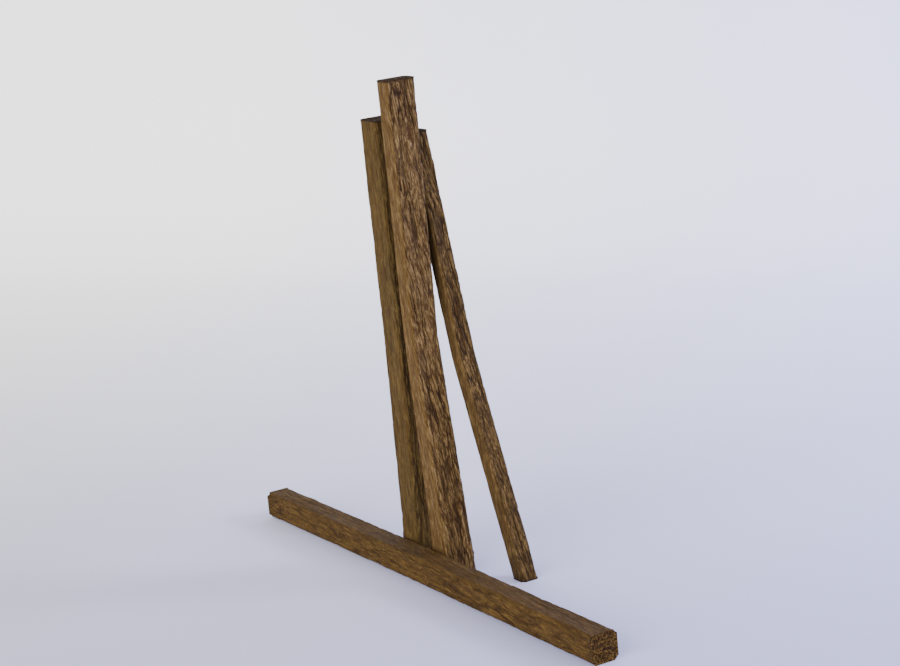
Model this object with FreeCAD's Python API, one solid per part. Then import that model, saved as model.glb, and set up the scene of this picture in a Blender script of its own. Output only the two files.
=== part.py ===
"""Rustic three-legged timber stand: a ground sill, two upright posts pegged behind it,
and a rear leg that swings on a wooden pin held in a block between the post heads.

Frame: millimetres, +Z up, +X along the sill, +Y towards the rear leg.
Origin: middle of the sill's underside, on the ground.
"""
import FreeCAD, Part
import math
import os

os.makedirs("parts", exist_ok=True)

# ---- ground sill ----
sill_length = 2000.0
sill_depth = 96.0
sill_height = 94.0
sill_chamfer = 13.0
sill_bow = 5.0            # the middle stands this far behind the two ends
seat_margin = 14.0        # flat dressed length of the sill beyond each post

# ---- left post ----
left_face_foot = -117.5   # side towards the centre post, at the ground
left_face_mid = -108.0    # the same side at the bend
left_face_top = -113.5    # the same side at the head
left_width = 107.0
left_depth = 106.0
left_height = 1469.0
left_bend_height = 735.0
left_chamfer = 10.0

# ---- centre post ----
centre_face_foot = -29.0  # side towards the left post, at the ground
centre_face_mid = -82.0   # the same side at the bend
centre_face_top = -87.5   # the same side at the head
centre_width_foot = 86.0
centre_width_mid = 70.0
centre_width_top = 69.0
centre_depth_foot = 115.0
centre_depth_mid = 100.0
centre_depth_top = 109.0
centre_height = 1600.0
centre_bend_height = 775.0
centre_chamfer = 10.0

# ---- rear leg ----
leg_x_foot = 226.0
leg_y_foot = 239.0
leg_x_mid = 9.0
leg_x_top = -122.0
leg_width = 65.0
leg_depth = 65.0
leg_height = 1419.0
leg_bend_height = 700.0
leg_chamfer = 9.0
leg_head_gap = 2.0        # between the leg's head and the backs of the posts

# ---- head block between the posts ----
block_height = 130.0
block_depth = 85.0

# ---- pivot ----
pin_radius = 8.0
pin_running_clearance = 0.08
pin_bore_depth = 52.0
pin_head_radius = 15.0
pin_head_thickness = 9.0
head_recess_radius = 20.0
head_recess_depth = 6.0   # the pin's head is sunk this far into the back of the leg
washer_radius = 22.0
washer_thickness = 6.0
seat_radius = 25.0
seat_allowance = 0.5      # least depth of the flat pared on the front of the leg
face_gap = 0.3            # running gap between the leg and what it turns against
lock_peg_radius = 4.0
lock_peg_overrun = 8.0    # how far the locking peg goes past the pin
lock_peg_setback = 20.0   # from the back of the block to the locking peg

# ---- pegs and wedges ----
sill_peg_radius = 9.0
sill_peg_spread = 22.0    # sideways, from the post's centre line to each peg
sill_peg_low = 28.0
sill_peg_high = 60.0
sill_peg_bite = 60.0      # depth into the sill
head_peg_radius = 7.0
head_peg_rise = 42.0      # above and below the pivot
head_peg_bite = 36.0      # depth into the centre post
head_peg_forward = 20.0   # from the front of the block to the head pegs
peg_proud = 1.0
wedge_length = 16.0
wedge_thickness = 2.4
wedge_tip = 0.6
wedge_width = 12.0


def vec(x, y, z):
    return FreeCAD.Vector(x, y, z)


def octagon(width, height, chamfer):
    """Corners of a chamfered rectangle about (0, 0), counter-clockwise."""
    a = width / 2
    b = height / 2
    c = chamfer
    return [(a, -b + c), (a, b - c), (a - c, b), (-a + c, b),
            (-a, b - c), (-a, -b + c), (-a + c, -b), (a - c, -b)]


def upright_ring(x, y, z, width, depth, chamfer):
    return [vec(x + u, y + v, z) for u, v in octagon(width, depth, chamfer)]


def lying_ring(x, y, width, height, chamfer):
    """Ring of a timber that lies along X with its underside on the ground."""
    return [vec(x, y + u, height / 2 + v) for u, v in octagon(width, height, chamfer)]


def flat_face(points):
    return Part.Face(Part.makePolygon(points + [points[0]]))


def hewn_timber(rings):
    """Closed solid with flat sides from one ring of corners to the next."""
    faces = [flat_face(rings[0]), flat_face(rings[-1])]
    count = len(rings[0])
    for lower, upper in zip(rings, rings[1:]):
        for i in range(count):
            j = (i + 1) % count
            faces.append(flat_face([lower[i], lower[j], upper[j], upper[i]]))
    solid = Part.makeSolid(Part.makeShell(faces))
    if solid.Volume < 0:
        solid.reverse()
    return solid


def between(low, high, share):
    return low + (high - low) * share


def rod(start, direction, length, radius):
    return Part.makeCylinder(radius, length, start, direction)


def save(name, shape):
    solids = shape.Solids
    result = solids[0] if len(solids) == 1 else Part.makeCompound(solids)
    result.exportStep("parts/" + name + ".step")
    print(name, "solids", len(solids), "volume cm3", round(result.Volume / 1000, 1))


# ---- places worked out from the sizes ----
post_front = sill_depth / 2 + sill_bow
posts_back = post_front + max(left_depth, centre_depth_top)
left_x_foot = left_face_foot - left_width / 2
left_x_mid = left_face_mid - left_width / 2
left_x_top = left_face_top - left_width / 2
centre_x_foot = centre_face_foot + centre_width_foot / 2
centre_x_mid = centre_face_mid + centre_width_mid / 2
centre_x_top = centre_face_top + centre_width_top / 2


def leg_centre(z):
    """Centre of the rear leg at a height, along its two straight lengths."""
    y = between(leg_y_foot, leg_y_top, z / leg_height)
    if z < leg_bend_height:
        return between(leg_x_foot, leg_x_mid, z / leg_bend_height), y
    share = (z - leg_bend_height) / (leg_height - leg_bend_height)
    return between(leg_x_mid, leg_x_top, share), y


def left_post_right_face(z):
    """X of the left post's right side above its bend."""
    share = (z - left_bend_height) / (left_height - left_bend_height)
    return between(left_face_mid, left_face_top, share)


def centre_left_face(z):
    """X of the centre post's left side above its bend."""
    share = (z - centre_bend_height) / (centre_height - centre_bend_height)
    return between(centre_face_mid, centre_face_top, share)


leg_y_top = posts_back + leg_head_gap + leg_depth / 2
pivot_x = (left_post_right_face(leg_height) + centre_left_face(leg_height)) / 2
upper_slope = (leg_x_top - leg_x_mid) / (leg_height - leg_bend_height)
pivot_z = leg_bend_height + (pivot_x - leg_x_mid) / upper_slope
front_seat = leg_centre(pivot_z - seat_radius)[1] - leg_depth / 2 + seat_allowance
leg_back = leg_centre(pivot_z + head_recess_radius)[1] + leg_depth / 2
back_seat = leg_back - head_recess_depth
block_back = front_seat - face_gap - washer_thickness
block_front = block_back - block_depth
along_y = vec(0, 1, 0)
along_x = vec(1, 0, 0)


def make_sill():
    half = sill_length / 2
    seat_left = left_x_foot - left_width / 2 - seat_margin
    seat_right = centre_x_foot + centre_width_foot / 2 + seat_margin
    stations = [(-half, 0), (seat_left, sill_bow), (seat_right, sill_bow), (half, 0)]
    rings = [lying_ring(x, y, sill_depth, sill_height, sill_chamfer) for x, y in stations]
    return hewn_timber(rings)


def make_left_post():
    y = post_front + left_depth / 2
    stations = [(left_x_foot, 0), (left_x_mid, left_bend_height), (left_x_top, left_height)]
    return hewn_timber([upright_ring(x, y, z, left_width, left_depth, left_chamfer)
                        for x, z in stations])


def make_centre_post():
    stations = [(centre_x_foot, 0, centre_width_foot, centre_depth_foot),
                (centre_x_mid, centre_bend_height, centre_width_mid, centre_depth_mid),
                (centre_x_top, centre_height, centre_width_top, centre_depth_top)]
    return hewn_timber([upright_ring(x, post_front + depth / 2, z, width, depth, centre_chamfer)
                        for x, z, width, depth in stations])


def make_rear_leg():
    rings = []
    for z in (0, leg_bend_height, leg_height):
        x, y = leg_centre(z)
        rings.append(upright_ring(x, y, z, leg_width, leg_depth, leg_chamfer))
    leg = hewn_timber(rings)
    bore = rod(vec(pivot_x, posts_back, pivot_z), along_y, 2 * leg_depth,
               pin_radius + pin_running_clearance)
    front_flat = rod(vec(pivot_x, front_seat - leg_depth / 2, pivot_z), along_y,
                     leg_depth / 2, seat_radius)
    recess = rod(vec(pivot_x, back_seat, pivot_z), along_y, leg_depth / 2, head_recess_radius)
    return leg.cut(bore).cut(front_flat).cut(recess)


def make_head_block():
    low = pivot_z - block_height / 2
    high = low + block_height
    left = max(left_post_right_face(low), left_post_right_face(high))
    right = min(centre_left_face(low), centre_left_face(high))
    return Part.makeBox(right - left, block_depth, block_height, vec(left, block_front, low))


def make_pin():
    start = block_back - pin_bore_depth
    head_start = back_seat + face_gap
    shaft = rod(vec(pivot_x, start, pivot_z), along_y, head_start - start, pin_radius)
    head = rod(vec(pivot_x, head_start, pivot_z), along_y, pin_head_thickness, pin_head_radius)
    rim = pin_head_thickness / 4
    head = head.makeChamfer(rim, [e for e in head.Edges if e.Closed and
                                  e.CenterOfMass.y > head_start + pin_head_thickness / 2])
    return shaft.fuse(head).removeSplitter()


def make_washer():
    centre = vec(pivot_x, block_back, pivot_z)
    disc = rod(centre, along_y, washer_thickness, washer_radius)
    return disc.cut(rod(centre, along_y, washer_thickness, pin_radius))


def make_lock_peg():
    top = pivot_z + block_height / 2 + peg_proud
    bottom = pivot_z - pin_radius - lock_peg_overrun
    start = vec(pivot_x, block_back - lock_peg_setback, bottom)
    return rod(start, vec(0, 0, 1), top - bottom, lock_peg_radius)


def sill_peg_places():
    """Start and height of each peg through a post into the sill."""
    places = []
    for foot, mid, bend, depth in (
            (left_x_foot, left_x_mid, left_bend_height, left_depth),
            (centre_x_foot, centre_x_mid, centre_bend_height, centre_depth_foot)):
        for side, z in ((-1, sill_peg_low), (1, sill_peg_high)):
            x = between(foot, mid, z / bend) + side * sill_peg_spread
            places.append((x, post_front + depth + peg_proud, z))
    return places


def head_peg_places():
    """Outer end of each peg through the left post and the block."""
    x = left_x_top - left_width / 2 - peg_proud
    y = block_front + head_peg_forward
    return [(x, y, pivot_z - head_peg_rise), (x, y, pivot_z + head_peg_rise)]


def make_sill_pegs():
    pegs = []
    for x, y, z in sill_peg_places():
        start = post_front - sill_peg_bite
        pegs.append(rod(vec(x, start, z), along_y, y - start, sill_peg_radius))
    return pegs


def make_head_pegs():
    pegs = []
    for x, y, z in head_peg_places():
        reach = centre_left_face(z) + head_peg_bite - x
        pegs.append(rod(vec(x, y, z), along_x, reach, head_peg_radius))
    return pegs


def wedge(place, inward, across):
    """Thin tapered wedge whose thick end is flush with a peg's end at place."""
    outline = []
    for depth, thickness in ((0, wedge_thickness), (wedge_length, wedge_tip)):
        for side in (-1, 1) if depth == 0 else (1, -1):
            offset = inward * depth + across.cross(inward) * (side * thickness / 2)
            outline.append(place + offset - across * (wedge_width / 2))
    return flat_face(outline).extrude(across * wedge_width)


def make_wedges():
    up = vec(0, 0, 1)
    wedges = [wedge(vec(x, y, z), vec(0, -1, 0), along_x) for x, y, z in sill_peg_places()]
    wedges += [wedge(vec(x, y, z), along_x, up) for x, y, z in head_peg_places()]
    return wedges


def main():
    sill = make_sill()
    left_post = make_left_post()
    centre_post = make_centre_post()
    head_block = make_head_block()
    sill_pegs = Part.makeCompound(make_sill_pegs())
    head_pegs = Part.makeCompound(make_head_pegs())
    wedges = Part.makeCompound(make_wedges())
    pin = make_pin()
    lock_peg = make_lock_peg()
    save("sill_beam", sill.cut(sill_pegs))
    save("left_post", left_post.cut(sill_pegs).cut(head_pegs))
    save("centre_post", centre_post.cut(sill_pegs).cut(head_pegs))
    save("rear_leg", make_rear_leg())
    save("head_block", head_block.cut(head_pegs).cut(pin).cut(lock_peg))
    save("sill_pegs", sill_pegs.cut(wedges))
    save("head_pegs", head_pegs.cut(wedges))
    save("peg_wedges", wedges)
    save("leg_pivot_pin", pin.cut(lock_peg))
    save("pivot_washer", make_washer())
    save("pin_lock_peg", lock_peg)
    print("pivot at", round(pivot_x, 2), round(pivot_z, 2), "block back", round(block_back, 2))
    foot_run = leg_x_foot - pivot_x
    print("leg off plumb, degrees", round(math.degrees(math.atan2(foot_run, pivot_z)), 2))


main()
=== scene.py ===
"""Looks of the hewn timber stand: cracked timbers, oak pegs, a leather washer, floor, light and camera."""
import math
import random

import bmesh
import bpy
from mathutils import Matrix, Vector, noise


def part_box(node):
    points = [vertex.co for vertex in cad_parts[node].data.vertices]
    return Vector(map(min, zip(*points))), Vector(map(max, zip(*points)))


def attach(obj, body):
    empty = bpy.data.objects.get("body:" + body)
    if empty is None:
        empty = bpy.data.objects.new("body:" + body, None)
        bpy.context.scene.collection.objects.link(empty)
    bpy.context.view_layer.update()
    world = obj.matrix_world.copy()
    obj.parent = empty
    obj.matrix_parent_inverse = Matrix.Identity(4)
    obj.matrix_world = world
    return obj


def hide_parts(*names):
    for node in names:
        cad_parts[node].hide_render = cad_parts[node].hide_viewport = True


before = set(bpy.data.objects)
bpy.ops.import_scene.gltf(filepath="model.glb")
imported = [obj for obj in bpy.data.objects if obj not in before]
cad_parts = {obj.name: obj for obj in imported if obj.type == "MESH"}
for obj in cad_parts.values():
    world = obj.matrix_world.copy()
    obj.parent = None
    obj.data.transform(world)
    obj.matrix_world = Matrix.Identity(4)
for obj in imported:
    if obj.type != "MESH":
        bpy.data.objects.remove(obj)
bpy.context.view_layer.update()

# ---- how finely the timbers are carved, in metres ----
STEP_ACROSS = 0.0016
STEP_ALONG = 0.0052
END_RINGS = 20
MOST_DEPTH = 0.012          # the deepest that the relief may go

# ---- relief of an old hewn face, in metres of depth ----
WOBBLE_DEPTH = 0.0014
SCOOP_DEPTH = 0.0010
PLATE_DEPTH = 0.0022
RIPPLE_DEPTH = 0.0007
CHECK_DEPTH = 0.0030
CRACK_DEPTH = 0.0065
END_DEPTH = 0.0035
KNOT_DEPTH = 0.0015
END_CRUST = 0.0008          # what every point of a sawn end has lost
SEAT_FADE = 0.018           # how far from a dressed seat the face is fully rough again
FLOOR_SHADE_HEIGHT = 0.035         # how high above the floor the painted shade darkens the wood

# ---- how far the grain wanders sideways, in metres ----
WIDE_DRIFT = 0.011
FINE_DRIFT = 0.0040

# ---- how closely each pattern repeats: per metre across the grain, and along it ----
WIDE_DRIFT_SCALE = (9, 6)
FINE_DRIFT_SCALE = (30, 20)
RIPPLE_SCALE = (130, 34)
PATCH_SCALE = (13, 5)
PLATE_SCALE = (74, 4.4)
HAIR_CRACK_SCALE = (85, 6)
WOBBLE_SCALE = (7, 5)
SCOOP_SCALE = (22, 13)

X, Y, Z = 0, 1, 2
STAND = "stand"
LEG = "leg"


# ---------------------------------------------------------------- selecting and editing

def deselect_all():
    bpy.ops.object.select_all(action="DESELECT")


def begin_edit(obj):
    deselect_all()
    bpy.context.view_layer.objects.active = obj
    obj.select_set(True)
    bpy.ops.object.mode_set(mode="EDIT")


def end_edit():
    bpy.ops.object.mode_set(mode="OBJECT")


def pick(obj, kind, test):
    """Selects, in edit mode, the edges or faces that pass a test."""
    mode = {"edges": "EDGE", "faces": "FACE"}[kind]
    bpy.ops.mesh.select_mode(type=mode)
    bpy.ops.mesh.select_all(action="DESELECT")
    mesh = bmesh.from_edit_mesh(obj.data)
    for item in getattr(mesh, kind):
        if test(item):
            item.select_set(True)
    mesh.select_flush_mode()
    bmesh.update_edit_mesh(obj.data)


def edge_vector(edge):
    return (edge.verts[1].co - edge.verts[0].co).normalized()


def apply_modifier(obj, kind, **settings):
    deselect_all()
    bpy.context.view_layer.objects.active = obj
    obj.select_set(True)
    modifier = obj.modifiers.new(kind.lower(), kind)
    for name, value in settings.items():
        setattr(modifier, name, value)
    bpy.ops.object.modifier_apply(modifier=modifier.name)


def name_piece(name):
    obj = bpy.context.view_layer.objects.active
    obj.name = name
    obj.data.name = name
    return obj


def settle(obj):
    """Puts a piece's place into its mesh, so that its object sits at the origin."""
    deselect_all()
    bpy.context.view_layer.objects.active = obj
    obj.select_set(True)
    bpy.ops.object.transform_apply(location=True, rotation=True, scale=True)


# ---------------------------------------------------------------- timbers

class Station:
    """A section across a timber: where it is along the grain, its centre and its two sizes."""

    def __init__(self, along, centre, size):
        self.along = along
        self.centre = centre
        self.size = size


class Timber:
    """A hewn timber: its blank, and the places of its knots and cracks."""

    def __init__(self, name, grain, stations, chamfer, seed):
        self.name = name
        self.grain = grain
        self.cross = [axis for axis in (X, Y, Z) if axis != grain]
        self.stations = stations
        self.chamfer = chamfer
        self.seed = seed
        self.knots = []
        self.cracks = []
        self.calm = {}
        self.slope = 0.0
        self.seats = []
        self.seed_vector = Vector((seed * 7.3, seed * 3.1, seed * 1.7))

    def point(self, along, u, v):
        place = [0, 0, 0]
        place[self.grain] = along
        place[self.cross[0]] = u
        place[self.cross[1]] = v
        return Vector(place)

    def section_at(self, along):
        """Centre and size of the section, between the stations on each side."""
        for low, high in zip(self.stations, self.stations[1:]):
            if along <= high.along or high is self.stations[-1]:
                share = (along - low.along) / (high.along - low.along)
                centre = [a + (b - a) * share for a, b in zip(low.centre, high.centre)]
                size = [a + (b - a) * share for a, b in zip(low.size, high.size)]
                return centre, size

    def blank(self):
        """The squared, chamfered timber as a fine grid of faces."""
        first, second = self.stations[:2]
        middle = self.point((first.along + second.along) / 2, *first.centre)
        extent = self.point(second.along - first.along, *first.size)
        deselect_all()
        bpy.ops.mesh.primitive_cube_add(size=1, location=middle, scale=extent)
        obj = name_piece(self.name)
        settle(obj)
        begin_edit(obj)
        end = self.point(second.along, *first.centre)
        pick(obj, "faces", lambda f: f.calc_center_median()[self.grain] > second.along - 1e-6)
        self.reshape_end(first, second, end)
        for low, high in zip(self.stations[1:], self.stations[2:]):
            step = self.point(high.along - low.along, 0, 0)
            bpy.ops.mesh.extrude_region_move(TRANSFORM_OT_translate={"value": step})
            self.reshape_end(low, high, self.point(high.along, *low.centre))
        pick(obj, "edges", self.runs_along)
        bpy.ops.mesh.bevel(offset_type="OFFSET", offset=self.chamfer, segments=1,
                           affect="EDGES", clamp_overlap=False)
        self.cut_across(obj)
        for end_station in (self.stations[0], self.stations[-1]):
            self.ring_end(obj, end_station)
        self.cut_along(obj)
        bpy.ops.mesh.select_all(action="SELECT")
        bpy.ops.mesh.normals_make_consistent(inside=False)
        end_edit()
        return obj

    def reshape_end(self, before, after, place):
        """Turns the picked end face from one station's section into the next one's."""
        shift = self.point(0, *(b - a for a, b in zip(before.centre, after.centre)))
        bpy.ops.transform.translate(value=shift)
        growth = self.point(1, *(b / a for a, b in zip(before.size, after.size)))
        bpy.ops.transform.resize(value=growth, center_override=place + shift)

    def runs_along(self, edge):
        return abs(edge_vector(edge)[self.grain]) > 0.9

    def cut_across(self, obj):
        """Divides the flats and chamfers into narrow strips that run with the grain."""
        wide = max(station.size[0] for station in self.stations)
        deep = max(station.size[1] for station in self.stations)
        u, v = self.cross
        counts = (
            (lambda e: abs(edge_vector(e)[u]) > 0.99, wide - 2 * self.chamfer),
            (lambda e: abs(edge_vector(e)[v]) > 0.99, deep - 2 * self.chamfer),
            (lambda e: 0.5 < abs(edge_vector(e)[u]) < 0.9, self.chamfer * math.sqrt(2)))
        for test, length in counts:
            pick(obj, "edges", test)
            bpy.ops.mesh.subdivide(number_cuts=max(1, round(length / STEP_ACROSS) - 1))

    def ring_end(self, obj, station):
        """Shrinks an end face ring by ring down to a closed middle."""
        centre = self.point(station.along, *station.centre)
        pick(obj, "faces", lambda f: abs(f.normal[self.grain]) > 0.9
             and abs(f.calc_center_median()[self.grain] - station.along) < 1e-5)
        for ring in range(END_RINGS - 1, 0, -1):
            bpy.ops.mesh.extrude_region_move()
            shrink = ring / (ring + 1)
            bpy.ops.transform.resize(value=(shrink, shrink, shrink), center_override=centre)
        bpy.ops.mesh.merge(type="CENTER")

    def cut_along(self, obj):
        for low, high in zip(self.stations, self.stations[1:]):
            middle = (low.along + high.along) / 2
            pick(obj, "edges", lambda e: self.runs_along(e) and
                 abs((e.verts[0].co + e.verts[1].co)[self.grain] / 2 - middle) < 1e-4)
            cuts = round((high.along - low.along) / STEP_ALONG) - 1
            bpy.ops.mesh.subdivide(number_cuts=cuts)

    # ---- relief ----

    def local(self, co):
        """Place on the timber, which side it is on, and how near the outside it is."""
        along = co[self.grain]
        centre, size = self.section_at(along)
        u = co[self.cross[0]] - centre[0]
        v = co[self.cross[1]] - centre[1]
        share_u = abs(u) / (size[0] / 2)
        share_v = abs(v) / (size[1] / 2)
        if share_u >= share_v:
            side, across = ("+u" if u > 0 else "-u"), v
        else:
            side, across = ("+v" if v > 0 else "-v"), u
        outward = max(share_u, share_v)
        return u, v, along, side, across, outward

    def flow(self, u, v, along):
        """How far the grain is pushed aside by the knots, and how deep in a knot this is."""
        push = Vector((0, 0, 0))
        core = 0.0
        for knot_u, knot_v, knot_along, radius in self.knots:
            du, dv = u - knot_u, v - knot_v
            reach = (du * du + dv * dv + ((along - knot_along) / 2.4) ** 2) / radius ** 2
            if reach < 9:
                pull = 0.9 * math.exp(-reach / 2)
                push += Vector((-du * pull, -dv * pull, 0))
                core = max(core, 1 - reach / 1.1)
        return push, max(0.0, core)

    def away_from_seats(self, co):
        """0 on the flats dressed for a neighbour, 1 where the face is left rough."""
        share = 1.0
        for low, high in self.seats:
            outside = Vector(max(low[i] - co[i], co[i] - high[i], 0.0) for i in (X, Y, Z))
            share = min(share, outside.length / SEAT_FADE)
        return share * share * (3 - 2 * share)

    def crack_depth(self, side, across, along):
        depth = 0.0
        for crack_side, start, end, width, strength in self.cracks:
            if crack_side != side:
                continue
            share = (along - start[0]) / (end[0] - start[0])
            if not 0 < share < 1:
                continue
            wander = 0.0030 * noise.noise(Vector((along * 35, self.seed, start[1] * 90)))
            middle = start[1] + (end[1] - start[1]) * share + wander
            half = width * math.sin(math.pi * share) ** 0.6 + 1e-6
            depth = max(depth, strength * (1 - abs(across - middle) / half))
        return max(0.0, depth)


def smooth_step(low, high, value):
    share = min(1.0, max(0.0, (value - low) / (high - low)))
    return share * share * (3 - 2 * share)


def ridge_lines(place, sharp):
    """Thin wandering lines, 1 on the line and 0 beside it, where a smooth noise crosses zero."""
    return smooth_step(sharp, 0.0, abs(noise.noise(place)))


def stretched(u, v, along, scale):
    """A place in a noise that repeats at one rate across the grain and another along it."""
    return Vector((u * scale[0], v * scale[0], along * scale[1]))


def face_relief(timber, co):
    """Depth, the marks that the material reads, and grain offset at one point of a long face."""
    u, v, along, side, across, _ = timber.local(co)
    seed = timber.seed_vector
    push, core = timber.flow(u, v, along)
    slope = timber.slope
    pu, pv = u + push.x, v + push.y
    drift = WIDE_DRIFT * noise.noise(stretched(pu, pv, along, WIDE_DRIFT_SCALE) + seed)
    drift += FINE_DRIFT * noise.noise(stretched(pu, pv, along, FINE_DRIFT_SCALE) - seed)
    gu, gv = pu + drift + slope * along, pv - drift + slope * along
    rough = timber.calm.get(side, 1.0)
    ripple = noise.noise(stretched(gu, gv, along, RIPPLE_SCALE) - seed)
    where = noise.noise(stretched(gu, gv, along, PATCH_SCALE) - seed * 2)
    distances, cells = noise.voronoi(stretched(gu, gv, along, PLATE_SCALE) + seed * 2)
    plate = 0.5 + 0.5 * noise.noise(cells[0] * 3.7)
    from_edge = distances[1] - distances[0]
    wide = smooth_step(0.15, 0.01, from_edge)
    fine = ridge_lines(stretched(gu, gv, along, HAIR_CRACK_SCALE) - seed * 3, 0.09)
    check = max(wide * (0.65 + 0.35 * smooth_step(-0.35, 0.25, where)), 0.65 * fine)
    rim = smooth_step(0.14, 0.26, from_edge) * smooth_step(0.50, 0.30, from_edge) * rough
    bare = timber.away_from_seats(co)
    check *= rough * bare
    crack = timber.crack_depth(side, across, along) * bare
    wobble = 0.5 + 0.5 * noise.noise(stretched(u, v, along, WOBBLE_SCALE) + seed * 3)
    scoop = 0.5 + 0.5 * noise.noise(stretched(u, v, along, SCOOP_SCALE) - seed * 3)
    depth = (WOBBLE_DEPTH * wobble + SCOOP_DEPTH * scoop
             + rough * (PLATE_DEPTH * plate + RIPPLE_DEPTH * (0.5 + ripple / 2))
             + KNOT_DEPTH * core) * bare + CHECK_DEPTH * check + CRACK_DEPTH * crack
    furrow = max(check, min(1.0, 1.3 * crack))
    # Painted shade: darker near the seats where timbers meet, just above the floor and over the sill's top
    # face, in noisy patches.
    near_seat = 1 - bare
    near_ground = smooth_step(FLOOR_SHADE_HEIGHT, 0.0, co.z)
    top_shade = 0.75 if timber.grain == X and side == "+v" else 0.0
    patchy = 0.5 + 0.5 * smooth_step(-0.3, 0.3, noise.noise(co * 30 + seed))
    painted_shade = max(near_seat, 0.8 * near_ground, top_shade) * patchy
    offset = timber.point(0, push.x + drift + slope * along, push.y - drift + slope * along)
    end_grain = 0.0
    return depth, furrow, core, end_grain, rough, plate, rim, painted_shade, offset


def end_relief(timber, co):
    """Depth and furrow at one point of a sawn end: a crackle with wandering shakes."""
    u, v, *_, outward = timber.local(co)
    seed = timber.seed_vector
    place = Vector((u, v, 0))
    bent = place + 0.006 * noise.noise_vector(place * 60 + seed)
    distances, _ = noise.voronoi(bent * 130 + seed)
    seam = smooth_step(0.22, 0.02, distances[1] - distances[0])
    shake = ridge_lines(bent * 30 + seed, 0.09)
    crust = smooth_step(0.0, 0.5, noise.noise(place * 110 - seed))
    furrow = max(0.7 * seam, shake, 0.5 * crust) * smooth_step(1.0, 0.90, outward)
    depth = END_CRUST + END_DEPTH * furrow
    knot, end_grain, roughness, plate, rim, painted_shade = 0.0, 1.0, 1.0, 0.5, 0.0, 0.0
    return depth, furrow, knot, end_grain, roughness, plate, rim, painted_shade, Vector((0, 0, 0))


def carve(timber, obj):
    """Weights and attributes of the relief, then the relief itself as a displacement."""
    mesh = obj.data
    group = obj.vertex_groups.new(name="relief")
    names = ("furrow", "knot", "end_grain", "roughness", "plate", "rim", "painted_shade")
    marks = {name: [] for name in names}
    flows = []
    low, high = timber.stations[0].along, timber.stations[-1].along
    for vertex in mesh.vertices:
        along = vertex.co[timber.grain]
        at_end = min(along - low, high - along) < 1e-5
        depth, *values, offset = (end_relief if at_end else face_relief)(timber, vertex.co)
        group.add([vertex.index], min(1.0, depth / MOST_DEPTH), "REPLACE")
        for name, value in zip(names, values):
            marks[name].append(value)
        flows.extend(offset)
    for name, values in marks.items():
        mesh.attributes.new(name, "FLOAT", "POINT")
        mesh.attributes[name].data.foreach_set("value", values)
    mesh.attributes.new("flow", "FLOAT_VECTOR", "POINT")
    mesh.attributes["flow"].data.foreach_set("vector", flows)
    apply_modifier(obj, "DISPLACE", direction="NORMAL", mid_level=0.0, strength=-MOST_DEPTH,
                   vertex_group="relief")
    obj.vertex_groups.clear()
    bpy.ops.object.shade_smooth()


def sections_of(node, grain, bends):
    """Stations of a CAD timber: its ends and the named bends, measured from its own corners."""
    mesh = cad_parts[node].data
    cross = [axis for axis in (X, Y, Z) if axis != grain]
    low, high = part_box(node)
    stations = []
    for along in [low[grain]] + bends + [high[grain]]:
        ring = [v.co for v in mesh.vertices if abs(v.co[grain] - along) < 5e-4]
        lows = [min(co[axis] for co in ring) for axis in cross]
        highs = [max(co[axis] for co in ring) for axis in cross]
        centre = [(a + b) / 2 for a, b in zip(lows, highs)]
        size = [b - a for a, b in zip(lows, highs)]
        stations.append(Station(along, centre, size))
    return stations


# ---------------------------------------------------------------- materials

def add_node(tree, kind, inputs=None, **settings):
    node = tree.nodes.new(kind)
    for name, value in settings.items():
        setattr(node, name, value)
    for name, value in (inputs or {}).items():
        if isinstance(value, bpy.types.NodeSocket):
            tree.links.new(value, node.inputs[name])
        else:
            node.inputs[name].default_value = value
    return node


def math_node(tree, operation, first, second=0.5, clamp=False):
    node = add_node(tree, "ShaderNodeMath", {0: first, 1: second}, operation=operation)
    node.use_clamp = clamp
    return node.outputs[0]


def mix_colour(tree, factor, first, second):
    node = add_node(tree, "ShaderNodeMix", data_type="RGBA")
    for slot, value in ((0, factor), (6, first), (7, second)):
        if isinstance(value, bpy.types.NodeSocket):
            tree.links.new(value, node.inputs[slot])
        else:
            node.inputs[slot].default_value = value
    return node.outputs[2]


def spread(tree, value, low, high, to_low=0.0, to_high=1.0):
    node = add_node(tree, "ShaderNodeMapRange", {"Value": value, "From Min": low, "From Max": high,
                                                 "To Min": to_low, "To Max": to_high})
    return node.outputs["Result"]


def group_with(name, inputs, outputs):
    tree = bpy.data.node_groups.new(name, "ShaderNodeTree")
    for socket, kind in inputs:
        tree.interface.new_socket(name=socket, in_out="INPUT", socket_type="NodeSocket" + kind)
    for socket, kind in outputs:
        tree.interface.new_socket(name=socket, in_out="OUTPUT", socket_type="NodeSocket" + kind)
    return tree, tree.nodes.new("NodeGroupInput").outputs, tree.nodes.new("NodeGroupOutput").inputs


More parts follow.
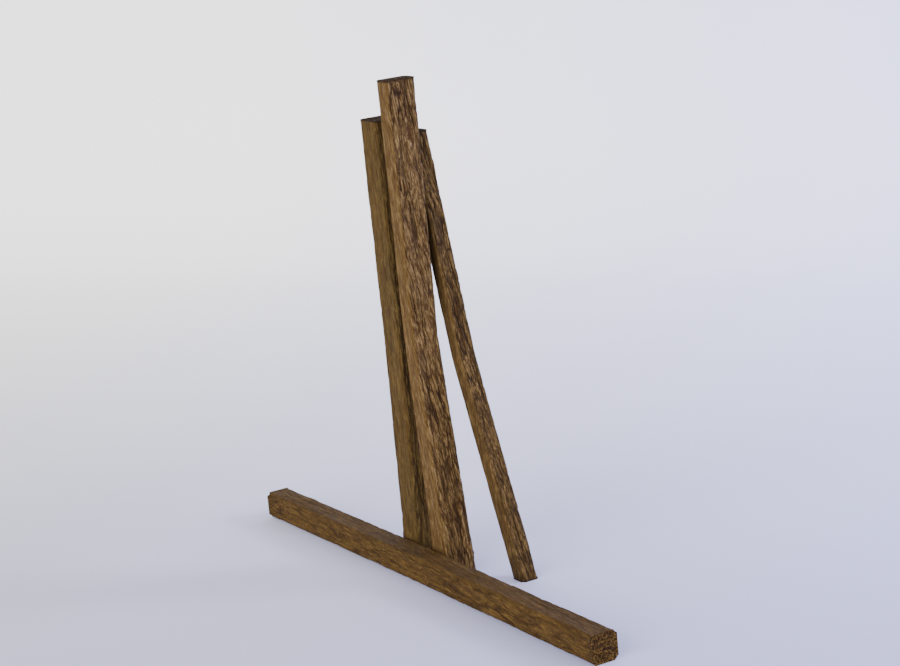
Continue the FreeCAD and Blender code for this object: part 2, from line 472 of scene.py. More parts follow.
def make_grain_group():
    """Fibres, checks, flecks and broad tone of old wood, on coordinates stretched along the grain."""
    tree, given, out = group_with(
        "wood_grain", [("Vector", "Vector")],
        [("Fibre", "Float"), ("Streak", "Float"), ("Tone", "Float"), ("Check", "Float"),
         ("Fleck", "Float")])

    def grain_noise(scale, detail, roughness, distortion=0.0):
        return add_node(tree, "ShaderNodeTexNoise",
                        {"Vector": given["Vector"], "Scale": scale, "Detail": detail,
                         "Roughness": roughness, "Distortion": distortion}).outputs["Fac"]

    def lines(value, sharp):
        """Thin lines where a noise passes its middle value."""
        centred = math_node(tree, "ABSOLUTE", math_node(tree, "SUBTRACT", value, 0.5))
        return spread(tree, centred, sharp, 0.0)

    tree.links.new(grain_noise(3.4, 4.0, 0.6), out["Fibre"])
    tree.links.new(grain_noise(1.1, 5.0, 0.62, 0.5), out["Streak"])
    tree.links.new(grain_noise(0.22, 3.0, 0.55), out["Tone"])
    coarse = lines(grain_noise(0.42, 3.0, 0.5, 0.5), 0.050)
    small = lines(grain_noise(0.95, 3.0, 0.55, 0.4), 0.040)
    either = math_node(tree, "MAXIMUM", coarse, math_node(tree, "MULTIPLY", small, 0.7))
    tree.links.new(either, out["Check"])
    fleck = spread(tree, grain_noise(2.8, 2.0, 0.5), 0.57, 0.64)
    tree.links.new(fleck, out["Fleck"])
    return tree


def make_weather_group(grain_group):
    """Colour, roughness and height of a hewn, cracked and weathered face."""
    tree, given, out = group_with(
        "weathered_timber",
        [("Vector", "Vector"), ("Furrow", "Float"), ("Knot", "Float"), ("Roughness", "Float"),
         ("Plate", "Float"), ("Rim", "Float"), ("Painted_Shade", "Float"), ("Deep", "Color"),
         ("Brown", "Color"), ("Body", "Color"), ("Pale", "Color"), ("Stain", "Color"),
         ("Contrast", "Float"), ("Stain Amount", "Float")],
        [("Color", "Color"), ("Roughness", "Float"), ("Height", "Float")])
    grain = add_node(tree, "ShaderNodeGroup", node_tree=grain_group)
    tree.links.new(given["Vector"], grain.inputs["Vector"])
    fibre, streak, tone, check, fleck = (
        grain.outputs[n] for n in ("Fibre", "Streak", "Tone", "Check", "Fleck"))
    worn = math_node(tree, "MULTIPLY", given["Roughness"], given["Contrast"])
    stain = math_node(tree, "MULTIPLY", spread(tree, tone, 0.42, 0.62), given["Stain Amount"])
    stained = mix_colour(tree, stain, given["Body"], given["Stain"])
    light = math_node(tree, "MULTIPLY", spread(tree, streak, 0.48, 0.66), 0.6)
    high = math_node(tree, "MULTIPLY", spread(tree, given["Plate"], 0.52, 0.30), worn)
    lit = math_node(tree, "MULTIPLY", high, spread(tree, fibre, 0.42, 0.62, 0.05, 0.5))
    rubbed = math_node(tree, "MULTIPLY", given["Rim"], spread(tree, fibre, 0.40, 0.60, 0.0, 0.7))
    brightest = math_node(tree, "MAXIMUM", math_node(tree, "MAXIMUM", light, lit), rubbed)
    paled = mix_colour(tree, brightest, stained, given["Pale"])
    brown = math_node(tree, "MULTIPLY", spread(tree, streak, 0.45, 0.30), given["Contrast"],
                      clamp=True)
    streaked = mix_colour(tree, brown, paled, given["Brown"])
    fibred = mix_colour(tree, spread(tree, fibre, 0.50, 0.34, 0.0, 0.55), streaked, given["Brown"])
    flecks = math_node(tree, "MULTIPLY", math_node(tree, "MULTIPLY", fleck, worn), 0.8)
    flecked = mix_colour(tree, flecks, fibred, given["Pale"])
    thin_checks = math_node(tree, "MULTIPLY", check, worn, clamp=True)
    checked = mix_colour(tree, math_node(tree, "MULTIPLY", thin_checks, 0.8), flecked, given["Deep"])
    # Painted shade in the cracks and furrows: the deeper the relief there, the nearer the colour goes to
    # Deep.
    shade = spread(tree, given["Furrow"], 0.22, 0.95, 0.0, 0.90)
    furrowed = mix_colour(tree, math_node(tree, "MULTIPLY", shade, given["Contrast"]), checked,
                          given["Deep"])
    knotted = mix_colour(tree, spread(tree, given["Knot"], 0.0, 0.9, 0.0, 0.6), furrowed,
                         given["Brown"])
    # Painted shade at the seats, near the floor and on the sill's top: mixed towards dark brown.
    shade_colour = mix_colour(tree, 0.5, given["Brown"], given["Deep"])
    contact_shaded = mix_colour(tree, math_node(tree, "MULTIPLY", given["Painted_Shade"], 0.45), knotted, shade_colour)
    tree.links.new(contact_shaded, out["Color"])
    tree.links.new(spread(tree, fibre, 0.3, 0.7, 0.70, 0.92), out["Roughness"])
    raised = math_node(tree, "ADD", math_node(tree, "MULTIPLY", fibre, 0.5),
                       math_node(tree, "MULTIPLY", streak, 0.6))
    sunk = math_node(tree, "SUBTRACT", raised, math_node(tree, "MULTIPLY", thin_checks, 0.5))
    tree.links.new(sunk, out["Height"])
    return tree


def end_grain_colour(tree, place, face_colour, end_mask, colours, end_shade):
    """Crackle of light flecks between dark shakes on the sawn ends."""
    bend = add_node(tree, "ShaderNodeTexNoise", {"Vector": place, "Scale": 70.0, "Detail": 2.0})
    bent = add_node(tree, "ShaderNodeMix", {0: 0.012}, data_type="VECTOR")
    tree.links.new(place, bent.inputs[4])
    tree.links.new(bend.outputs["Color"], bent.inputs[5])
    speck = add_node(tree, "ShaderNodeTexVoronoi", {"Vector": bent.outputs[1], "Scale": 190.0},
                     feature="DISTANCE_TO_EDGE")
    patch = add_node(tree, "ShaderNodeTexNoise", {"Vector": bent.outputs[1], "Scale": 160.0,
                                                  "Detail": 3.0})
    furrow = add_node(tree, "ShaderNodeAttribute", attribute_name="furrow").outputs["Fac"]
    base = mix_colour(tree, spread(tree, patch.outputs["Fac"], 0.46, 0.58), colours["Brown"],
                      colours["Pale"])
    seams = mix_colour(tree, spread(tree, speck.outputs["Distance"], 0.13, 0.03, 0.0, 0.9), base,
                       colours["Deep"])
    # Painted shade in the deep shakes of the end, darker the deeper they are; end_shade then lays painted
    # shade over the whole end, darkening the upward post tops.
    sunk = mix_colour(tree, spread(tree, furrow, 0.35, 0.85, 0.0, 0.95), seams, colours["Deep"])
    shaded = mix_colour(tree, end_shade, sunk, colours["Deep"])
    return mix_colour(tree, end_mask, face_colour, shaded)


def timber_material(name, weather, grain, colours, contrast, stain, end_shade, bump=0.8):
    """A weathered timber whose grain runs along one axis."""
    material = bpy.data.materials.new(name)
    material.use_nodes = True
    tree = material.node_tree
    shader = tree.nodes["Principled BSDF"]
    place = add_node(tree, "ShaderNodeTexCoord").outputs["Object"]
    flow = add_node(tree, "ShaderNodeAttribute", attribute_name="flow").outputs["Vector"]
    moved = add_node(tree, "ShaderNodeVectorMath", {0: place, 1: flow}, operation="ADD")
    stretch = [110.0, 110.0, 110.0]
    stretch[grain] = 15.0
    pattern = add_node(tree, "ShaderNodeMapping", {"Vector": moved.outputs[0], "Scale": stretch})
    look = add_node(tree, "ShaderNodeGroup", node_tree=weather)
    tree.links.new(pattern.outputs[0], look.inputs["Vector"])
    for socket in ("Furrow", "Knot", "Roughness", "Plate", "Rim", "Painted_Shade"):
        layer = add_node(tree, "ShaderNodeAttribute", attribute_name=socket.lower())
        tree.links.new(layer.outputs["Fac"], look.inputs[socket])
    end_mask = add_node(tree, "ShaderNodeAttribute", attribute_name="end_grain").outputs["Fac"]
    solid = {key: (*colour, 1.0) for key, colour in colours.items()}
    for key, colour in solid.items():
        look.inputs[key].default_value = colour
    look.inputs["Contrast"].default_value = contrast
    look.inputs["Stain Amount"].default_value = stain
    colour = end_grain_colour(tree, place, look.outputs["Color"], end_mask, solid, end_shade)
    relief = add_node(tree, "ShaderNodeBump", {"Height": look.outputs["Height"],
                                               "Strength": bump, "Distance": 0.003})
    tree.links.new(colour, shader.inputs["Base Color"])
    tree.links.new(look.outputs["Roughness"], shader.inputs["Roughness"])
    tree.links.new(relief.outputs["Normal"], shader.inputs["Normal"])
    shader.inputs["Specular IOR Level"].default_value = 0.14
    return material


# ---------------------------------------------------------------- the five timbers

CHAMFER = {"sill_beam": 0.013, "left_post": 0.010, "centre_post": 0.010, "rear_leg": 0.009,
           "head_block": 0.002}
grain_group = make_grain_group()
weather_group = make_weather_group(grain_group)

TIMBER_COLOURS = {
    "sill_beam": {"Deep": (0.0127, 0.0045, 0.0007), "Brown": (0.0353, 0.0152, 0.0025),
                  "Body": (0.0627, 0.0323, 0.0058), "Pale": (0.1421, 0.0843, 0.0208),
                  "Stain": (0.0441, 0.0211, 0.0039)},
    "left_post": {"Deep": (0.0123, 0.0051, 0.0011), "Brown": (0.0361, 0.0171, 0.0035),
                  "Body": (0.0627, 0.0347, 0.0072), "Pale": (0.1425, 0.0902, 0.0276),
                  "Stain": (0.0418, 0.0271, 0.0076)},
    "centre_post": {"Deep": (0.0130, 0.0040, 0.0008), "Brown": (0.0410, 0.0170, 0.0035),
                    "Body": (0.0760, 0.0410, 0.0093), "Pale": (0.2300, 0.1500, 0.0645),
                    "Stain": (0.0540, 0.0270, 0.0064)},
    "rear_leg": {"Deep": (0.0095, 0.0031, 0.0006), "Brown": (0.0301, 0.0133, 0.0028),
                 "Body": (0.0568, 0.0305, 0.0067), "Pale": (0.1677, 0.1049, 0.0396),
                 "Stain": (0.0353, 0.0198, 0.0049)},
    "head_block": {"Deep": (0.0095, 0.0040, 0.0010), "Brown": (0.0342, 0.0162, 0.0038),
                   "Body": (0.0627, 0.0342, 0.0078), "Pale": (0.1377, 0.0855, 0.0268),
                   "Stain": (0.0418, 0.0256, 0.0071)},
}


def scattered_cracks(timber, count, lengths, widths):
    """Short cracks at random places, on every side, none of them near an end."""
    rng = random.Random(timber.seed)
    low, high = timber.stations[0].along, timber.stations[-1].along
    for _ in range(count):
        length = rng.uniform(*lengths)
        start = rng.uniform(low + 0.02, high - length - 0.02)
        across = rng.uniform(-0.032, 0.032)
        lean = rng.uniform(-0.016, 0.016)
        side = rng.choice(("+u", "-u", "+v", "-v"))
        strength = rng.uniform(0.5, 1.0) * timber.calm.get(side, 1.0)
        timber.cracks.append((side, (start, across), (start + length, across + lean),
                              rng.uniform(*widths), strength))


def make_timber(node, grain, bends, seed, body, knots=(), cracks=(), calm=None, slope=0.0,
                contrast=1.0, stain=0.7, end_shade=0.75, seats=(), loose=18):
    timber = Timber(node + "_timber", grain, sections_of(node, grain, bends), CHAMFER[node], seed)
    timber.knots = list(knots)
    timber.cracks = list(cracks)
    timber.calm = calm or {}
    timber.slope = slope
    timber.seats = [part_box(other) for other in seats]
    scattered_cracks(timber, loose, (0.06, 0.26), (0.0018, 0.0032))
    obj = timber.blank()
    carve(timber, obj)
    obj.data.materials.clear()
    obj.data.materials.append(timber_material(node + "_wood", weather_group, grain,
                                              TIMBER_COLOURS[node], contrast, stain, end_shade))
    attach(obj, body)
    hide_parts(node)
    return obj


# Knots: across, across and along from each timber's own centre line, and radius, in metres.
# Cracks: side, start (along, across), end (along, across), half width, strength.
SILL_SEAT = (-0.2385, 0.071)
make_timber(
    "sill_beam", X, list(SILL_SEAT), 3, STAND, calm={"+v": 0.7}, slope=0.06,
    knots=[(-0.048, 0.005, -0.52, 0.014), (-0.048, 0.002, 0.25, 0.016), (-0.048, -0.012, 0.62, 0.011),
           (0.004, 0.047, -0.75, 0.013), (0.048, 0.006, 0.40, 0.015)],
    cracks=[("-u", (-0.62, -0.010), (-0.36, -0.022), 0.0022, 0.7),
            ("-u", (0.08, -0.020), (0.34, -0.030), 0.0022, 0.8),
            ("-u", (0.42, 0.012), (0.66, 0.004), 0.0022, 0.7),
            ("+v", (-0.95, 0.004), (-0.60, 0.012), 0.0024, 0.9)],
    contrast=0.75, stain=0.6, end_shade=0.0, seats=("left_post", "centre_post"))
make_timber(
    "left_post", Z, [0.735], 5, STAND, calm={"-v": 0.5, "+u": 0.9}, slope=0.02,
    knots=[(0.010, -0.053, 0.98, 0.014), (0.053, -0.010, 0.40, 0.013), (-0.053, 0.015, 1.05, 0.016)],
    cracks=[("+u", (0.18, -0.030), (0.52, -0.024), 0.0022, 0.9),
            ("+u", (0.25, -0.010), (0.62, -0.004), 0.0022, 0.9),
            ("-u", (0.60, 0.010), (1.05, 0.000), 0.0030, 1.0)],
    contrast=0.8, stain=0.75, seats=("sill_beam", "head_block"))
make_timber(
    "centre_post", Z, [0.775], 8, STAND, calm={"-v": 0.25}, slope=0.10,
    knots=[(0.034, 0.012, 1.43, 0.015), (0.037, 0.026, 0.83, 0.015), (0.041, 0.018, 0.24, 0.016),
           (-0.034, -0.010, 1.10, 0.015)],
    cracks=[("+u", (1.457, 0.000), (1.560, -0.017), 0.0022, 0.9),
            ("+u", (1.380, 0.042), (1.555, 0.012), 0.0024, 1.0),
            ("+u", (1.05, 0.012), (1.30, -0.030), 0.0020, 0.8),
            ("+u", (0.78, -0.020), (0.98, -0.040), 0.0022, 0.9),
            ("+u", (0.34, 0.020), (0.62, -0.030), 0.0020, 0.8)],
    contrast=1.0, stain=0.5, seats=("sill_beam", "head_block"))
leg = make_timber(
    "rear_leg", Z, [0.700], 12, LEG, calm={"-v": 0.25}, slope=0.08,
    knots=[(0.032, 0.006, 1.16, 0.012), (0.032, -0.004, 0.85, 0.012)],
    cracks=[("+u", (1.24, 0.020), (1.39, 0.004), 0.0026, 1.0),
            ("+u", (0.90, 0.018), (1.02, 0.006), 0.0026, 1.0),
            ("+u", (0.74, -0.002), (0.93, -0.018), 0.0026, 1.0),
            ("+u", (0.01, 0.004), (0.30, -0.004), 0.0028, 1.0)],
    contrast=1.0, stain=0.7, seats=("pivot_washer", "leg_pivot_pin"))
make_timber("head_block", Z, [], 21, STAND, calm={"+u": 0.0, "-u": 0.0}, contrast=0.8,
            end_shade=0.3, seats=("left_post", "centre_post"), loose=0)


# ---------------------------------------------------------------- the leg's bore and seats

BORE_PLAY = 0.0004          # the bore is drawn this much wider than the pin
SHAFT_RADIUS = 0.008
RECESS_RADIUS = 0.020
SEAT_RADIUS = 0.025
HEAD_THICKNESS = 0.009
RUNNING_GAP = 0.0003


def cut_round(obj, axis_x, axis_z, start, end, radius):
    """Bores a round hole along Y, from one depth to the other."""
    deselect_all()
    bpy.ops.mesh.primitive_cylinder_add(
        vertices=64, radius=radius, depth=end - start, location=(axis_x, (start + end) / 2, axis_z),
        rotation=(math.pi / 2, 0, 0))
    cutter = name_piece("cutter")
    settle(cutter)
    apply_modifier(obj, "BOOLEAN", operation="DIFFERENCE", solver="MANIFOLD", object=cutter)
    bpy.data.objects.remove(cutter)


def bore_leg(obj):
    pin_low, pin_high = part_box("leg_pivot_pin")
    washer_low, washer_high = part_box("pivot_washer")
    x, _, z = (pin_low + pin_high) / 2
    head_seat = pin_high.y - HEAD_THICKNESS - RUNNING_GAP
    front_seat = washer_high.y + RUNNING_GAP
    beyond = pin_high.y + HEAD_THICKNESS
    cut_round(obj, x, z, washer_low.y, beyond, SHAFT_RADIUS + BORE_PLAY)
    cut_round(obj, x, z, head_seat, beyond, RECESS_RADIUS)
    cut_round(obj, x, z, washer_low.y, front_seat, SEAT_RADIUS)


bore_leg(leg)


# ---------------------------------------------------------------- pegs, wedges, pin and washer

def fine_wood_material(name, colours, axis, rough=0.75):
    """Whittled hardwood: pores and fibres drawn out along one axis, and rings on the ends."""
    material = bpy.data.materials.new(name)
    material.use_nodes = True
    tree = material.node_tree
    shader = tree.nodes["Principled BSDF"]
    place = add_node(tree, "ShaderNodeTexCoord").outputs["Object"]
    stretch = [420.0, 420.0, 420.0]
    stretch[axis] = 40.0
    along = add_node(tree, "ShaderNodeMapping", {"Vector": place, "Scale": stretch}).outputs[0]
    fibre = add_node(tree, "ShaderNodeTexNoise", {"Vector": along, "Scale": 1.0, "Detail": 5.0,
                                                  "Roughness": 0.6}).outputs["Fac"]
    pore = add_node(tree, "ShaderNodeTexVoronoi", {"Vector": along, "Scale": 2.2}).outputs["Distance"]
    tone = add_node(tree, "ShaderNodeTexNoise", {"Vector": place, "Scale": 90.0,
                                                 "Detail": 4.0}).outputs["Fac"]
    radial = add_node(tree, "ShaderNodeAttribute", attribute_name="radial").outputs["Fac"]
    warped = math_node(tree, "ADD", math_node(tree, "MULTIPLY", radial, 30.0),
                       math_node(tree, "MULTIPLY", tone, 9.0))
    ring = math_node(tree, "SINE", warped, 0.0)
    deep, body, pale = ((*colour, 1.0) for colour in colours)
    toned = mix_colour(tree, spread(tree, tone, 0.38, 0.62), body, pale)
    fibred = mix_colour(tree, spread(tree, fibre, 0.52, 0.34, 0.0, 0.8), toned, deep)
    pored = mix_colour(tree, spread(tree, pore, 0.25, 0.05, 0.0, 0.9), fibred, deep)
    ringed = mix_colour(tree, spread(tree, ring, 0.2, 1.0, 0.0, 0.65), pored, deep)
    rim = mix_colour(tree, spread(tree, radial, 0.80, 1.0, 0.0, 0.6), ringed, deep)
    height = math_node(tree, "ADD", math_node(tree, "MULTIPLY", fibre, 0.6),
                       math_node(tree, "MULTIPLY", pore, 0.6))
    relief = add_node(tree, "ShaderNodeBump", {"Height": height, "Strength": 0.6,
                                               "Distance": 0.0008})
    tree.links.new(rim, shader.inputs["Base Color"])
    tree.links.new(spread(tree, fibre, 0.3, 0.7, rough - 0.12, rough + 0.1),
                   shader.inputs["Roughness"])
    tree.links.new(relief.outputs["Normal"], shader.inputs["Normal"])
    shader.inputs["Specular IOR Level"].default_value = 0.10
    return material


def leather_material(name):
    """Oiled hide: pebbled grain, creases and a darker, rubbed tone."""
    material = bpy.data.materials.new(name)
    material.use_nodes = True
    tree = material.node_tree
    shader = tree.nodes["Principled BSDF"]
    place = add_node(tree, "ShaderNodeTexCoord").outputs["Object"]
    pebble = add_node(tree, "ShaderNodeTexVoronoi", {"Vector": place, "Scale": 900.0},
                      feature="SMOOTH_F1").outputs["Distance"]
    crease = add_node(tree, "ShaderNodeTexNoise", {"Vector": place, "Scale": 160.0, "Detail": 5.0,
                                                   "Distortion": 1.2}).outputs["Fac"]
    rubbed = mix_colour(tree, spread(tree, crease, 0.40, 0.65), (0.022, 0.009, 0.004, 1),
                        (0.085, 0.038, 0.016, 1))
    grained = mix_colour(tree, spread(tree, pebble, 0.15, 0.55), (0.012, 0.005, 0.003, 1), rubbed)
    height = math_node(tree, "ADD", pebble, crease)
    relief = add_node(tree, "ShaderNodeBump", {"Height": height, "Strength": 0.5,
                                               "Distance": 0.0006})
    tree.links.new(grained, shader.inputs["Base Color"])
    tree.links.new(spread(tree, crease, 0.3, 0.7, 0.45, 0.75), shader.inputs["Roughness"])
    tree.links.new(relief.outputs["Normal"], shader.inputs["Normal"])
    return material


WHITTLE_STEP = 0.004        # length of the strips that a peg's sides are divided into
SHAFT_EDGE = 0.02           # only edges longer than this run down the shaft
RIM_SHARE = 0.14            # how much of a peg's radius its worn rim takes
FACET_SIDES = 6             # sides of the round blank in each whittled facet
PEG_END_RINGS = 6
KNIFE_DEPTH_SHARE = 0.12    # the deepest cut, as a share of the widest radius
KNIFE_ROUGHNESS = 0.0004
KNIFE_SCALE = 240
SAME_LENGTH = 1e-4          # pegs this close in length are copies of one peg
PEG_REACH = 2.3             # corners within this many radii of each other are one peg's


def whittled_peg(name, radius, length, facets, seed, head=None):
    """A peg along +Z from the origin, cut with a knife into flats; head is (radius, thickness)."""
    deselect_all()
    bpy.ops.mesh.primitive_cylinder_add(vertices=facets * FACET_SIDES, radius=radius, depth=length,
                                        location=(0, 0, length / 2))
    obj = name_piece(name)
    settle(obj)
    begin_edit(obj)
    top = length
    if head:
        pick(obj, "faces", lambda f: f.normal.z > 0.9)
        bpy.ops.mesh.extrude_region_move()
        grow = head[0] / radius
        bpy.ops.transform.resize(value=(grow, grow, 1), center_override=(0, 0, length))
        bpy.ops.mesh.extrude_region_move(TRANSFORM_OT_translate={"value": (0, 0, head[1])})
        top += head[1]
    for level in (0.0, top):
        pick(obj, "edges", lambda e: all(abs(v.co.z - level) < 1e-6 for v in e.verts))
        bpy.ops.mesh.bevel(offset=RIM_SHARE * radius, segments=3, affect="EDGES")
    pick(obj, "edges", lambda e: abs(edge_vector(e).z) > 0.99 and e.calc_length() > SHAFT_EDGE)
    bpy.ops.mesh.subdivide(number_cuts=round(length / WHITTLE_STEP))
    for level in (0.0, top):
        pick(obj, "faces", lambda f: abs(f.normal.z) > 0.9
             and abs(f.calc_center_median().z - level) < 1e-6)
        for ring in range(PEG_END_RINGS, 0, -1):
            bpy.ops.mesh.extrude_region_move()
            shrink = ring / (ring + 1)
            bpy.ops.transform.resize(value=(shrink, shrink, 1), center_override=(0, 0, level))
        bpy.ops.mesh.merge(type="CENTER")
    end_edit()
    widest = head[0] if head else radius
    group = obj.vertex_groups.new(name="relief")
    turn = 2 * math.pi / facets
    shift = Vector((seed, seed * 2, 0))
    deepest = KNIFE_DEPTH_SHARE * widest
    for vertex in obj.data.vertices:
        reach = vertex.co.xy.length
        own = head[0] if head and vertex.co.z > length - 1e-6 else radius
        off_middle = math.atan2(vertex.co.y, vertex.co.x) % turn - turn / 2
        flat = own * (1 - math.cos(turn / 2) / math.cos(off_middle))
        flat *= smooth_step(0.5, 0.9, reach / own)
        rough = 0.5 + 0.5 * noise.noise(vertex.co * KNIFE_SCALE + shift)
        depth = flat + KNIFE_ROUGHNESS * rough
        group.add([vertex.index], min(1.0, depth / deepest), "REPLACE")
    apply_modifier(obj, "DISPLACE", direction="NORMAL", mid_level=0.0, strength=-deepest,
                   vertex_group="relief")
    obj.vertex_groups.clear()
    obj.data.attributes.new("radial", "FLOAT", "POINT")
    shares = [min(1.0, v.co.xy.length / widest) for v in obj.data.vertices]
    obj.data.attributes["radial"].data.foreach_set("value", shares)
    bpy.ops.object.shade_smooth_by_angle(angle=math.radians(30))
    return obj


def peg_places(node, axis, radius):
    """Low end and high end of each round peg of a CAD node, along the pegs' axis."""
    cross = [a for a in (X, Y, Z) if a != axis]
    groups = []
    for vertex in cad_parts[node].data.vertices:
        spot = Vector([vertex.co[a] for a in cross])
        near = [g for g in groups if (g[0] - spot).length < PEG_REACH * radius]
        if near:
            near[0][1].append(vertex.co.copy())
        else:
            groups.append((spot, [vertex.co.copy()]))
    places = []
    for _, corners in groups:
        low = Vector(min(c[a] for c in corners) for a in (X, Y, Z))
        high = Vector(max(c[a] for c in corners) for a in (X, Y, Z))
        low_end, high_end = (low + high) / 2, (low + high) / 2
        low_end[axis], high_end[axis] = low[axis], high[axis]
        places.append((low_end, high_end))
    return sorted(places, key=lambda ends: tuple(ends[0]))


def place_pegs(node, name, places, radius, facets, seed, material, head=None):
    """One whittled peg at each place, joined into one piece that stands for the CAD node."""
    pegs = []
    for count, (inner, outer) in enumerate(places):
        length = (outer - inner).length - (head[1] if head else 0)
        if pegs and abs(length - pegs[0][1]) <= SAME_LENGTH:
            peg = pegs[0][0].copy()
            peg.data = pegs[0][0].data.copy()
            bpy.context.scene.collection.objects.link(peg)
        else:
            peg = whittled_peg(name, radius, length, facets, seed + count, head)
        pegs.append((peg, length))
    for (peg, _), (inner, outer) in zip(pegs, places):
        peg.rotation_euler = (outer - inner).to_track_quat("Z", "Y").to_euler()
        peg.location = inner
    deselect_all()
    for peg, _ in pegs:
        peg.select_set(True)
    bpy.context.view_layer.objects.active = pegs[0][0]
    bpy.ops.object.transform_apply(location=True, rotation=True, scale=True)
    if len(pegs) > 1:
        bpy.ops.object.join()
    piece = name_piece(name)
    piece.data.materials.append(material)
    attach(piece, STAND)
    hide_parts(node)
    return piece


def finish_node(node, material):
    """Gives a CAD piece that stays as it is its finish."""
    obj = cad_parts[node]
    obj.data.materials.clear()
    obj.data.materials.append(material)


OAK = ((0.008, 0.003, 0.001), (0.052, 0.027, 0.009), (0.110, 0.064, 0.025))
DRY_OAK = ((0.014, 0.006, 0.002), (0.090, 0.054, 0.022), (0.150, 0.098, 0.046))
SILL_PEG_RADIUS = 0.009
HEAD_PEG_RADIUS = 0.007
LOCK_PEG_RADIUS = 0.004
PIN_HEAD_RADIUS = 0.015

sill_places = peg_places("sill_pegs", Y, SILL_PEG_RADIUS)
place_pegs("sill_pegs", "sill_peg_set", sill_places, SILL_PEG_RADIUS, 8, 31,
           fine_wood_material("sill_peg_oak", OAK, Y))
head_places = [(outer, inner) for inner, outer in peg_places("head_pegs", X, HEAD_PEG_RADIUS)]
place_pegs("head_pegs", "head_peg_set", head_places, HEAD_PEG_RADIUS, 8, 37,
           fine_wood_material("head_peg_oak", OAK, X))
place_pegs("pin_lock_peg", "lock_peg", peg_places("pin_lock_peg", Z, LOCK_PEG_RADIUS),
           LOCK_PEG_RADIUS, 6, 41, fine_wood_material("lock_peg_oak", OAK, Z))
pin_low, pin_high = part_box("leg_pivot_pin")
pin_middle = (pin_low + pin_high) / 2
pin_ends = [(Vector((pin_middle.x, pin_low.y, pin_middle.z)),
             Vector((pin_middle.x, pin_high.y, pin_middle.z)))]
place_pegs("leg_pivot_pin", "pivot_pin", pin_ends, SHAFT_RADIUS, 10, 43,
           fine_wood_material("pin_oak", OAK, Y, 0.8), head=(PIN_HEAD_RADIUS, HEAD_THICKNESS))
finish_node("peg_wedges", fine_wood_material("wedge_oak", DRY_OAK, Y, 0.8))
finish_node("pivot_washer", leather_material("washer_leather"))


# ---------------------------------------------------------------- floor, light and camera

def area_light(name, place, aim, size, power, colour):
    data = bpy.data.lights.new(name, "AREA")
    data.shape = "DISK"
    data.size = size
    data.energy = power
    data.color = colour
    lamp = bpy.data.objects.new(name, data)
    bpy.context.scene.collection.objects.link(lamp)
    lamp.location = place
    lamp.rotation_euler = (Vector(aim) - Vector(place)).to_track_quat("-Z", "Y").to_euler()


FOLD_FOOT = Vector((-3.81, 2.44, 0))        # where the floor turns up into the backdrop
FOLD_ALONG = Vector((0.828, 0.561, 0)).normalized()
FOLD_AWAY = Vector((-0.561, 0.828, 0)).normalized()


def sun_light(name, heading, height, power, spread_angle, colour):
    """A broad, even light from a heading (degrees from +X towards +Y) and a height above level."""
    data = bpy.data.lights.new(name, "SUN")
    data.energy = power
    data.angle = math.radians(spread_angle)
    data.color = colour
    lamp = bpy.data.objects.new(name, data)
    bpy.context.scene.collection.objects.link(lamp)
    turn, lift = math.radians(heading), math.radians(height)
    towards = Vector((math.cos(turn) * math.cos(lift), math.sin(turn) * math.cos(lift),
                      math.sin(lift)))
    lamp.rotation_euler = (-towards).to_track_quat("-Z", "Y").to_euler()


SHEET_LENGTH = 70.0
SHEET_DEPTH = 60.0
WALL_HEIGHT = 9
SWEEP_RADIUS = 0.9
SWEEP_STEPS = 16
LIGHT_RISE_FROM, LIGHT_RISE_TO = -4.4, 0.0            # along FOLD_AWAY, where painted light makes the sheet paler towards the wall
LAVENDER_LIGHT_FROM, LAVENDER_LIGHT_TO = -1.6, 3.2          # along FOLD_ALONG, where painted lavender light tints it
WALL_GLOW = 0.09            # lavender light given off by the cool end of the backdrop


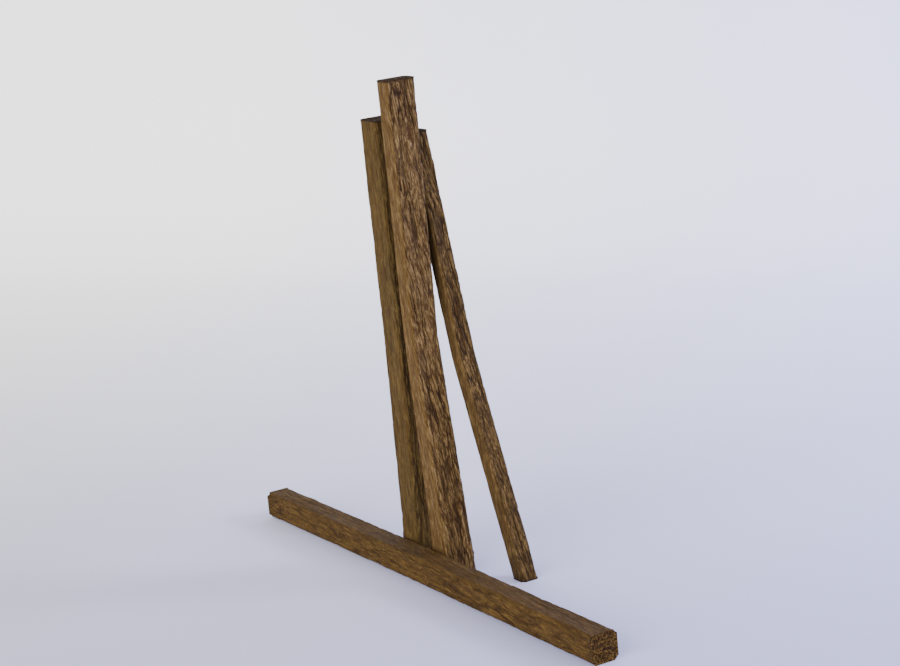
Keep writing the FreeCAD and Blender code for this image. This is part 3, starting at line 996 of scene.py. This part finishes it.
def make_backdrop():
    """A sheet that lies on the ground and sweeps up behind the object."""
    deselect_all()
    bpy.ops.mesh.primitive_plane_add(size=1, location=(0, 0, 0))
    backdrop = name_piece("studio_backdrop")
    turn = math.atan2(FOLD_ALONG.y, FOLD_ALONG.x)
    backdrop.scale = (SHEET_LENGTH, SHEET_DEPTH, 1)
    backdrop.rotation_euler = (0, 0, turn)
    backdrop.location = FOLD_FOOT - FOLD_AWAY * SHEET_DEPTH / 2
    settle(backdrop)
    begin_edit(backdrop)
    pick(backdrop, "edges", lambda e: all((v.co - FOLD_FOOT).dot(FOLD_AWAY) > -1e-3 for v in e.verts))
    for step in range(SWEEP_STEPS):
        middle = (step + 0.5) / SWEEP_STEPS * math.pi / 2
        chord = 2 * SWEEP_RADIUS * math.sin(math.pi / 4 / SWEEP_STEPS)
        move = FOLD_AWAY * chord * math.cos(middle) + Vector((0, 0, chord * math.sin(middle)))
        bpy.ops.mesh.extrude_region_move(TRANSFORM_OT_translate={"value": move})
    bpy.ops.mesh.extrude_region_move(TRANSFORM_OT_translate={"value": (0, 0, WALL_HEIGHT)})
    end_edit()
    bpy.ops.object.shade_smooth()
    material = bpy.data.materials.new("studio_backdrop_with_painted_light")
    material.use_nodes = True
    tree = material.node_tree
    shader = tree.nodes["Principled BSDF"]
    place = add_node(tree, "ShaderNodeTexCoord").outputs["Object"]
    offset = add_node(tree, "ShaderNodeVectorMath", {0: place, 1: FOLD_FOOT}, operation="SUBTRACT")

    def measure(direction):
        return add_node(tree, "ShaderNodeVectorMath", {0: offset.outputs[0], 1: direction},
                        operation="DOT_PRODUCT").outputs["Value"]

    # Painted light: the grey grows much paler towards the wall, as where more light falls, and turns
    # lavender towards one end, as under a lavender lamp.
    painted_light_rise = spread(tree, measure(FOLD_AWAY), LIGHT_RISE_FROM, LIGHT_RISE_TO)
    painted_lavender_light = spread(tree, measure(FOLD_ALONG), LAVENDER_LIGHT_FROM, LAVENDER_LIGHT_TO)
    grey_lit = mix_colour(tree, painted_light_rise, (0.56, 0.56, 0.555, 1), (0.93, 0.93, 0.93, 1))
    lavender_lit = mix_colour(tree, painted_light_rise, (0.44, 0.45, 0.68, 1), (0.66, 0.69, 1.00, 1))
    tree.links.new(mix_colour(tree, painted_lavender_light, grey_lit, lavender_lit), shader.inputs["Base Color"])
    shader.inputs["Roughness"].default_value = 0.9
    shader.inputs["Emission Color"].default_value = (0.25, 0.28, 1.0, 1)
    tree.links.new(math_node(tree, "MULTIPLY", painted_lavender_light, WALL_GLOW), shader.inputs["Emission Strength"])
    # Clear from behind, so that a camera outside the sweep still sees the object.
    behind = add_node(tree, "ShaderNodeNewGeometry").outputs["Backfacing"]
    clear = add_node(tree, "ShaderNodeBsdfTransparent")
    either = add_node(tree, "ShaderNodeMixShader")
    tree.links.new(behind, either.inputs[0])
    tree.links.new(shader.outputs["BSDF"], either.inputs[1])
    tree.links.new(clear.outputs["BSDF"], either.inputs[2])
    tree.links.new(either.outputs[0], tree.nodes["Material Output"].inputs["Surface"])
    backdrop.data.materials.append(material)


def make_world():
    world = bpy.data.worlds.new("studio")
    world.use_nodes = True
    back = world.node_tree.nodes["Background"]
    back.inputs["Color"].default_value = (0.99, 0.98, 1.0, 1)
    back.inputs["Strength"].default_value = 0.42
    bpy.context.scene.world = world


CAMERA_PLACE = (6.173, -3.427, 2.446)
CAMERA_HEADING = math.radians(59.69)
CAMERA_PITCH = math.radians(13.11)          # how far it looks down
CAMERA_ROLL = math.radians(5.65)
CAMERA_LENS = 92.8                          # millimetres, on a 36 mm sensor


def make_camera():
    """A long lens, a little above head height, looking down and rolled a few degrees."""
    data = bpy.data.cameras.new("camera")
    data.sensor_width = 36
    data.lens = CAMERA_LENS
    camera = bpy.data.objects.new("camera", data)
    bpy.context.scene.collection.objects.link(camera)
    turn = (Matrix.Rotation(CAMERA_HEADING, 4, "Z")
            @ Matrix.Rotation(math.pi / 2 - CAMERA_PITCH, 4, "X")
            @ Matrix.Rotation(-CAMERA_ROLL, 4, "Z"))
    camera.matrix_world = Matrix.Translation(CAMERA_PLACE) @ turn
    bpy.context.scene.camera = camera


make_backdrop()
make_world()
make_camera()
sun_light("warm_front", -70, 16, 6.0, 60, (1.0, 0.985, 0.965))
sun_light("cool_front", 8, 18, 2.4, 60, (1.0, 0.98, 0.98))
area_light("side_fill", (3.5, 5.5, 3.4), (-0.3, 0.8, 0.0), 2.0, 420, (0.86, 0.87, 1.0))
